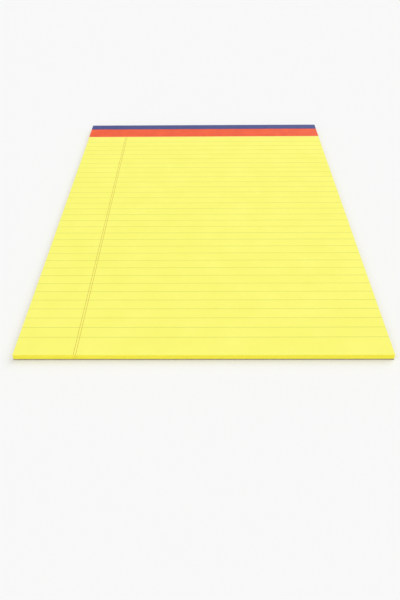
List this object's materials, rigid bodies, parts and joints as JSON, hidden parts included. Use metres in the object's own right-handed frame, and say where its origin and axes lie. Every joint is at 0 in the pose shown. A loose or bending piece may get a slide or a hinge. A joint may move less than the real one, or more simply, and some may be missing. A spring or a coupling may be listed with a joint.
{
  "type": "legal pad",
  "caption": "Ruled yellow writing pad of A4 sheets on a stiff backboard, with an orange header strip and a navy tape folded over its stapled head edge.",
  "frame": {"origin": "on the table, under the middle of the pad's outer box", "axes": "+X across the sheet to the right, +Y up the sheet to the bound head edge, +Z out of the written face"},
  "size_m": [0.21, 0.2972, 0.004],
  "materials": {
    "yellow_paper": "uncoated, matte",
    "grey_board": "uncoated, matte",
    "orange_header": "printed, satin",
    "navy_tape": "embossed, satin",
    "staple_wire": "bright wire"
  },
  "bodies": {
    "root": {"sheets": "yellow_paper", "backboard": "grey_board", "header_strip": "orange_header", "binding_tape": "navy_tape", "binding_staples": "staple_wire"}
  },
  "joints": []
}
